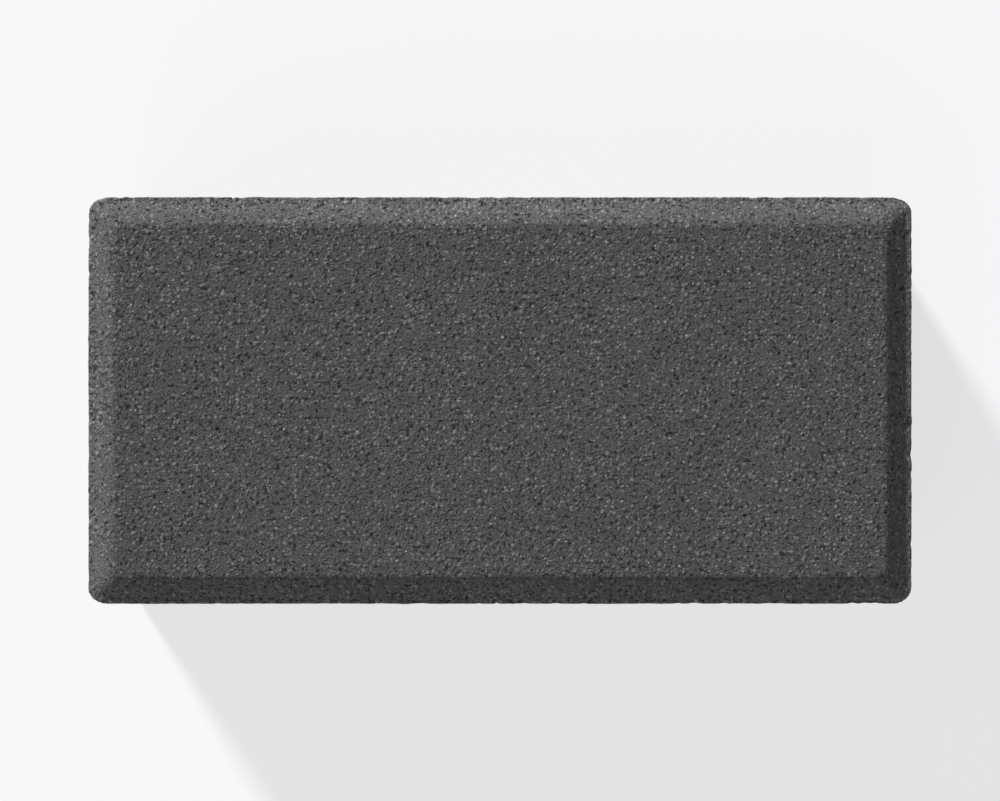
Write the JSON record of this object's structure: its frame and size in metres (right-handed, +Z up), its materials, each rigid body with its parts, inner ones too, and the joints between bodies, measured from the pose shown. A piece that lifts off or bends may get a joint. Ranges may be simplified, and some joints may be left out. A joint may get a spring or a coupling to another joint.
{
  "type": "concrete paving stone",
  "caption": "Rectangular charcoal concrete block paver with a chamfered wearing face, rounded upright corners and low spacer nibs, laid on its bed to pave drives and paths.",
  "frame": {"origin": "middle of the bed face, where the stone rests on its bedding", "axes": "+X along the long side, +Y along the short side, +Z up out of the wearing face"},
  "size_m": [0.2, 0.1, 0.06],
  "materials": {
    "charcoal_concrete": "dry pressed charcoal concrete, fine sand grain, matt"
  },
  "bodies": {
    "root": {"paving_stone": "charcoal_concrete"}
  },
  "joints": []
}
